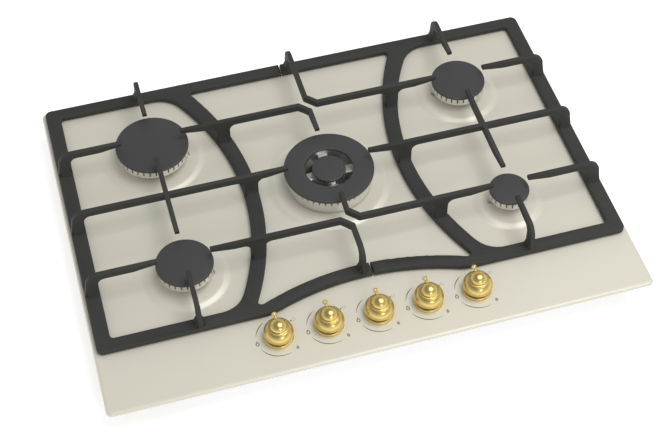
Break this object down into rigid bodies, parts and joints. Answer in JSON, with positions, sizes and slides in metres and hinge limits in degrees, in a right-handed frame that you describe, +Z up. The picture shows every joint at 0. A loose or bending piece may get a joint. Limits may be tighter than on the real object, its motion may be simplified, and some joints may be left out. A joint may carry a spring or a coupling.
{
  "type": "gas cooktop",
  "caption": "Built-in gas cooktop with an enamelled plate, cast pan supports in two halves, burners with lift-off crowns and caps, and push-and-turn brass knobs along the front.",
  "frame": {"origin": "middle of the plate in plan, at the underside of the tray", "axes": "+X to the right along the long side, seen from the knobs; +Y to the back; +Z up"},
  "size_m": [0.7, 0.5, 0.0935],
  "materials": {
    "enamel": "cream vitreous enamel, glossy",
    "tray_steel": "galvanised sheet, matt",
    "fixings": "zinc-plated steel",
    "seal": "soft foam seal, matt",
    "cast_iron": "matt black enamelled cast iron",
    "feet_rubber": "matt rubber",
    "cup_aluminium": "die-cast, matt",
    "crown_aluminium": "machined die-cast, satin",
    "cap_enamel": "matt black enamel",
    "ceramic": "glazed white ceramic",
    "probe_steel": "heat-tinted steel",
    "valve_brass": "plain machined brass",
    "pipe_steel": "plated steel tube",
    "pipe_aluminium": "drawn aluminium tube",
    "module_plastic": "black moulded plastic",
    "gland_plastic": "black nylon",
    "knob_brass": "satin antique-gold plating",
    "spindle_steel": "turned steel"
  },
  "bodies": {
    "root": {"top_panel": "enamel", "bottom_tray": "tray_steel", "tray_screws": "fixings", "rim_seal": "seal", "burner_cup_front_left": "cup_aluminium", "burner_cup_rear_left": "cup_aluminium", "burner_cup_rear_right": "cup_aluminium", "burner_cup_front_right": "cup_aluminium", "burner_cup_centre": "cup_aluminium", "burner_screws": "fixings", "spark_electrodes": "ceramic", "thermocouples": "probe_steel", "injectors": "valve_brass", "gas_rail": "pipe_steel", "inlet_elbow": "valve_brass", "feed_tubes": "pipe_aluminium", "ignition_module": "module_plastic", "cable_gland": "gland_plastic", "switch_strip": "module_plastic", "knob_bezels": "knob_brass", "gas_valve_1": "valve_brass", "gas_valve_2": "valve_brass", "gas_valve_3": "valve_brass", "gas_valve_4": "valve_brass", "gas_valve_5": "valve_brass", "return_spring_1": "fixings", "return_spring_2": "fixings", "return_spring_3": "fixings", "return_spring_4": "fixings", "return_spring_5": "fixings"},
    "support_left": {"pan_support_left": "cast_iron", "support_feet_left": "feet_rubber"},
    "support_right": {"pan_support_right": "cast_iron", "support_feet_right": "feet_rubber"},
    "crown_front_left": {"flame_crown_front_left": "crown_aluminium"},
    "cap_front_left": {"burner_cap_front_left": "cap_enamel"},
    "crown_rear_left": {"flame_crown_rear_left": "crown_aluminium"},
    "cap_rear_left": {"burner_cap_rear_left": "cap_enamel"},
    "crown_rear_right": {"flame_crown_rear_right": "crown_aluminium"},
    "cap_rear_right": {"burner_cap_rear_right": "cap_enamel"},
    "crown_front_right": {"flame_crown_front_right": "crown_aluminium"},
    "cap_front_right": {"burner_cap_front_right": "cap_enamel"},
    "crown_centre": {"flame_crown_centre": "crown_aluminium"},
    "cap_centre": {"burner_cap_centre": "cap_enamel"},
    "cap_centre_inner": {"burner_cap_centre_inner": "cap_enamel"},
    "washer_1": {"thrust_washer_1": "fixings"},
    "knob_1": {"spindle_1": "spindle_steel", "knob_1": "knob_brass"},
    "washer_2": {"thrust_washer_2": "fixings"},
    "knob_2": {"spindle_2": "spindle_steel", "knob_2": "knob_brass"},
    "washer_3": {"thrust_washer_3": "fixings"},
    "knob_3": {"spindle_3": "spindle_steel", "knob_3": "knob_brass"},
    "washer_4": {"thrust_washer_4": "fixings"},
    "knob_4": {"spindle_4": "spindle_steel", "knob_4": "knob_brass"},
    "washer_5": {"thrust_washer_5": "fixings"},
    "knob_5": {"spindle_5": "spindle_steel", "knob_5": "knob_brass"}
  },
  "joints": [
    {"name": "support_lift_left", "type": "slide", "parent": "root", "child": "support_left", "axis": [0, 0, 1], "range_m": [0, 0.06]},
    {"name": "support_lift_right", "type": "slide", "parent": "root", "child": "support_right", "axis": [0, 0, 1], "range_m": [0, 0.06]},
    {"name": "crown_lift_front_left", "type": "slide", "parent": "root", "child": "crown_front_left", "axis": [0, 0, 1], "range_m": [0, 0.0025]},
    {"name": "cap_lift_front_left", "type": "slide", "parent": "crown_front_left", "child": "cap_front_left", "axis": [0, 0, 1], "range_m": [0, 0.0025]},
    {"name": "crown_lift_rear_left", "type": "slide", "parent": "root", "child": "crown_rear_left", "axis": [0, 0, 1], "range_m": [0, 0.0025]},
    {"name": "cap_lift_rear_left", "type": "slide", "parent": "crown_rear_left", "child": "cap_rear_left", "axis": [0, 0, 1], "range_m": [0, 0.0025]},
    {"name": "crown_lift_rear_right", "type": "slide", "parent": "root", "child": "crown_rear_right", "axis": [0, 0, 1], "range_m": [0, 0.0025]},
    {"name": "cap_lift_rear_right", "type": "slide", "parent": "crown_rear_right", "child": "cap_rear_right", "axis": [0, 0, 1], "range_m": [0, 0.0025]},
    {"name": "crown_lift_front_right", "type": "slide", "parent": "root", "child": "crown_front_right", "axis": [0, 0, 1], "range_m": [0, 0.0025]},
    {"name": "cap_lift_front_right", "type": "slide", "parent": "crown_front_right", "child": "cap_front_right", "axis": [0, 0, 1], "range_m": [0, 0.0025]},
    {"name": "crown_lift_centre", "type": "slide", "parent": "root", "child": "crown_centre", "axis": [0, 0, 1], "range_m": [0, 0.0025]},
    {"name": "cap_lift_centre", "type": "slide", "parent": "crown_centre", "child": "cap_centre", "axis": [0, 0, 1], "range_m": [0, 0.0025]},
    {"name": "cap_lift_centre_inner", "type": "slide", "parent": "crown_centre", "child": "cap_centre_inner", "axis": [0, 0, 1], "range_m": [0, 0.0025]},
    {"name": "knob_push_1", "type": "slide", "parent": "root", "child": "washer_1", "axis": [0, 0, -1], "range_m": [0, 0.0025], "stiffness_N_per_m": 1500, "springref_m": -0.003, "deforming": ["return_spring_1"]},
    {"name": "knob_turn_1", "type": "hinge", "parent": "washer_1", "child": "knob_1", "pos_m": [-0.1268, -0.1968, 0.06], "axis": [0, 0, 1], "range_deg": [0, 240]},
    {"name": "knob_push_2", "type": "slide", "parent": "root", "child": "washer_2", "axis": [0, 0, -1], "range_m": [0, 0.0025], "stiffness_N_per_m": 1500, "springref_m": -0.003, "deforming": ["return_spring_2"]},
    {"name": "knob_turn_2", "type": "hinge", "parent": "washer_2", "child": "knob_2", "pos_m": [-0.0625, -0.1968, 0.06], "axis": [0, 0, 1], "range_deg": [0, 240]},
    {"name": "knob_push_3", "type": "slide", "parent": "root", "child": "washer_3", "axis": [0, 0, -1], "range_m": [0, 0.0025], "stiffness_N_per_m": 1500, "springref_m": -0.003, "deforming": ["return_spring_3"]},
    {"name": "knob_turn_3", "type": "hinge", "parent": "washer_3", "child": "knob_3", "pos_m": [0.0018, -0.1968, 0.06], "axis": [0, 0, 1], "range_deg": [0, 240]},
    {"name": "knob_push_4", "type": "slide", "parent": "root", "child": "washer_4", "axis": [0, 0, -1], "range_m": [0, 0.0025], "stiffness_N_per_m": 1500, "springref_m": -0.003, "deforming": ["return_spring_4"]},
    {"name": "knob_turn_4", "type": "hinge", "parent": "washer_4", "child": "knob_4", "pos_m": [0.0661, -0.1968, 0.06], "axis": [0, 0, 1], "range_deg": [0, 240]},
    {"name": "knob_push_5", "type": "slide", "parent": "root", "child": "washer_5", "axis": [0, 0, -1], "range_m": [0, 0.0025], "stiffness_N_per_m": 1500, "springref_m": -0.003, "deforming": ["return_spring_5"]},
    {"name": "knob_turn_5", "type": "hinge", "parent": "washer_5", "child": "knob_5", "pos_m": [0.1304, -0.1968, 0.06], "axis": [0, 0, 1], "range_deg": [0, 240]}
  ]
}
